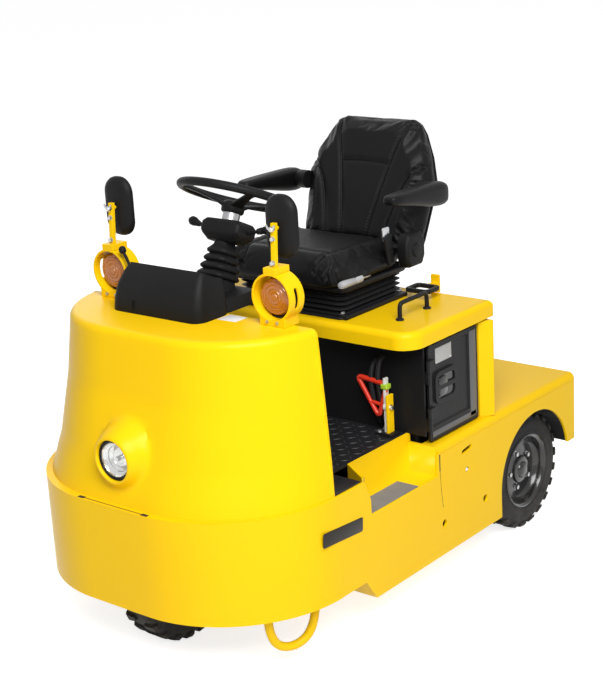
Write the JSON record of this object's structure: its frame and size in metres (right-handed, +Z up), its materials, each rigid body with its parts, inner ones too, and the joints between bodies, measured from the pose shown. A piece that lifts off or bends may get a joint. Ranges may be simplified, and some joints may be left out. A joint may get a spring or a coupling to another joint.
{
  "type": "airport tow tractor",
  "caption": "Compact electric three-wheeled sit-on tow tractor with a rounded nose cowl, thick bumper skirt, seat on a tilting battery hood, flat rear deck and a rear tow coupling.",
  "frame": {"origin": "on the ground under the middle of the overall box", "axes": "+X forward, +Y to the driver's left, +Z up"},
  "size_m": [1.76, 1.008, 1.3969],
  "materials": {
    "yellow_paint": "gloss",
    "black_paint": "satin",
    "white_paint": "satin",
    "steel": "satin",
    "black_plastic": "matte",
    "clear_lens": "gloss",
    "grey_pad": "matte",
    "rubber_mat": "matte",
    "amber_lens": "gloss",
    "red_lens": "gloss",
    "mirror_glass": "gloss",
    "seat_vinyl": "matte",
    "red_grip": "gloss",
    "tyre_rubber": "matte"
  },
  "bodies": {
    "chassis": {"side_skins": "yellow_paint", "rear_deck": "yellow_paint", "side_ledges": "yellow_paint", "rear_plate": "yellow_paint", "arch_liners": "black_paint", "belly_pan": "yellow_paint", "bumper_skirt": "yellow_paint", "front_deck": "black_paint", "steer_bearing": "steel", "front_cowl": "yellow_paint", "headlight_bezel": "black_plastic", "headlight_lens": "clear_lens", "step_recesses": "yellow_paint", "step_pads": "grey_pad", "footwell_floor": "rubber_mat", "firewall": "black_paint", "dash_housing": "black_plastic", "steering_column": "steel", "column_boot": "rubber_mat", "switch_box": "black_plastic", "column_levers": "black_plastic", "lamp_guards": "yellow_paint", "turn_lamps": "amber_lens", "mirror_stalks": "yellow_paint", "mirror_shells": "black_plastic", "mirror_glasses": "mirror_glass", "box_front": "black_paint", "bulkhead": "yellow_paint", "battery": "black_plastic", "door_hinges": "black_paint", "hood_hinges": "black_paint", "brake_arm": "white_paint", "brake_handle": "red_grip", "pedals": "rubber_mat", "drive_axle": "black_paint", "tow_hitch": "steel", "tail_lamps": "red_lens", "tie_downs": "yellow_paint"},
    "hood": {"hood": "yellow_paint", "seat_suspension": "black_plastic", "seat_cushion": "seat_vinyl", "seat_backrest": "seat_vinyl", "seat_recliners": "steel", "seat_armrests": "black_plastic", "belt_units": "black_plastic", "hood_handle": "black_paint", "pull_post": "yellow_paint", "pull_loop": "black_paint"},
    "battery_door_left": {"battery_door_left": "black_paint"},
    "battery_door_right": {"battery_door_right": "black_paint"},
    "steering_wheel": {"steering_wheel": "black_plastic"},
    "steer_fork": {"steer_fork": "black_paint"},
    "front_wheel": {"front_tyre": "tyre_rubber", "front_rim": "black_paint"},
    "rear_left_wheel": {"rear_left_tyre": "tyre_rubber", "rear_left_rim": "black_paint"},
    "rear_right_wheel": {"rear_right_tyre": "tyre_rubber", "rear_right_rim": "black_paint"},
    "hitch_pin": {"hitch_pin": "steel"}
  },
  "joints": [
    {"name": "front_steer", "type": "hinge", "parent": "chassis", "child": "steer_fork", "pos_m": [0.636, 0, 0.2], "axis": [0, 0, 1], "range_deg": [-75, 75]},
    {"name": "front_wheel_spin", "type": "hinge", "parent": "steer_fork", "child": "front_wheel", "pos_m": [0.636, 0, 0.2], "axis": [0, 1, 0], "continuous": true},
    {"name": "rear_left_wheel_spin", "type": "hinge", "parent": "chassis", "child": "rear_left_wheel", "pos_m": [-0.568, 0.414, 0.2], "axis": [0, 1, 0], "continuous": true},
    {"name": "rear_right_wheel_spin", "type": "hinge", "parent": "chassis", "child": "rear_right_wheel", "pos_m": [-0.568, -0.414, 0.2], "axis": [0, 1, 0], "continuous": true},
    {"name": "steering_wheel_turn", "type": "hinge", "parent": "chassis", "child": "steering_wheel", "pos_m": [0.28928, 0, 1.21028], "axis": [-0.4226, 0, 0.9063], "range_deg": [-760, 760]},
    {"name": "hood_tilt", "type": "hinge", "parent": "chassis", "child": "hood", "pos_m": [-0.346, 0, 0.79], "axis": [0, -1, 0], "range_deg": [0, 65]},
    {"name": "battery_door_left_swing", "type": "hinge", "parent": "chassis", "child": "battery_door_left", "pos_m": [-0.001, 0.479, 0.635], "axis": [0, 0, -1], "range_deg": [0, 105]},
    {"name": "battery_door_right_swing", "type": "hinge", "parent": "chassis", "child": "battery_door_right", "pos_m": [-0.001, -0.479, 0.635], "axis": [0, 0, 1], "range_deg": [0, 105]},
    {"name": "hitch_pin_lift", "type": "slide", "parent": "chassis", "child": "hitch_pin", "axis": [0, 0, 1], "range_m": [0, 0.145]}
  ],
  "couplings": [
    {"joint": "steering_wheel_turn", "follows": "front_steer", "ratio": 10}
  ]
}
